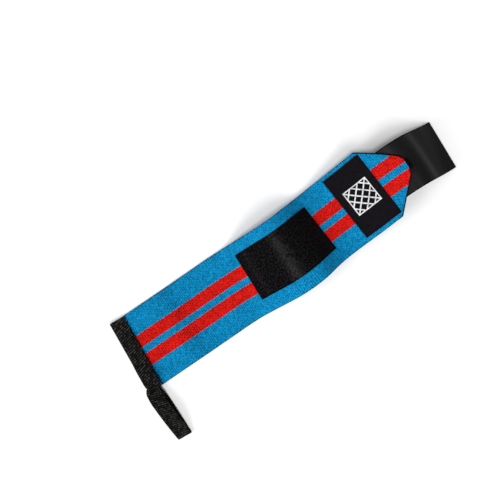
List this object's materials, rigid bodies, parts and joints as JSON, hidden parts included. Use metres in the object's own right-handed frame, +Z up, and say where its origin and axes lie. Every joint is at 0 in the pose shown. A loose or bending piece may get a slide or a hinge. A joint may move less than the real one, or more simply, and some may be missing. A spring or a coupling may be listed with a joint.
{
  "type": "wrist wrap",
  "caption": "Elastic lifting wrist wrap lying flat, with a thumb loop on its bound end, a soft fastening patch on an arch and a hook tab under its tapered tip.",
  "frame": {"origin": "on the floor, under the middle of the whole wrap's box", "axes": "+X along the strap from the bound end to the hook tab, +Y across it away from the thumb loop, +Z up"},
  "size_m": [0.3732, 0.1394, 0.0302],
  "materials": {
    "band_elastic": "matt woven elastic with two red stripes",
    "binding_tape": "matt ribbed tape",
    "loop_tape": "matt ribbed elastic tape",
    "pile_patch": "brushed pile with a faint sheen",
    "label_weave": "smooth woven, slightly silky",
    "hook_tape": "smooth backing, slightly glossy"
  },
  "bodies": {
    "root": {"elastic_band": "band_elastic", "end_binding": "binding_tape", "thumb_loop": "loop_tape", "loop_patch": "pile_patch", "label": "label_weave", "hook_tab": "hook_tape"}
  },
  "joints": []
}
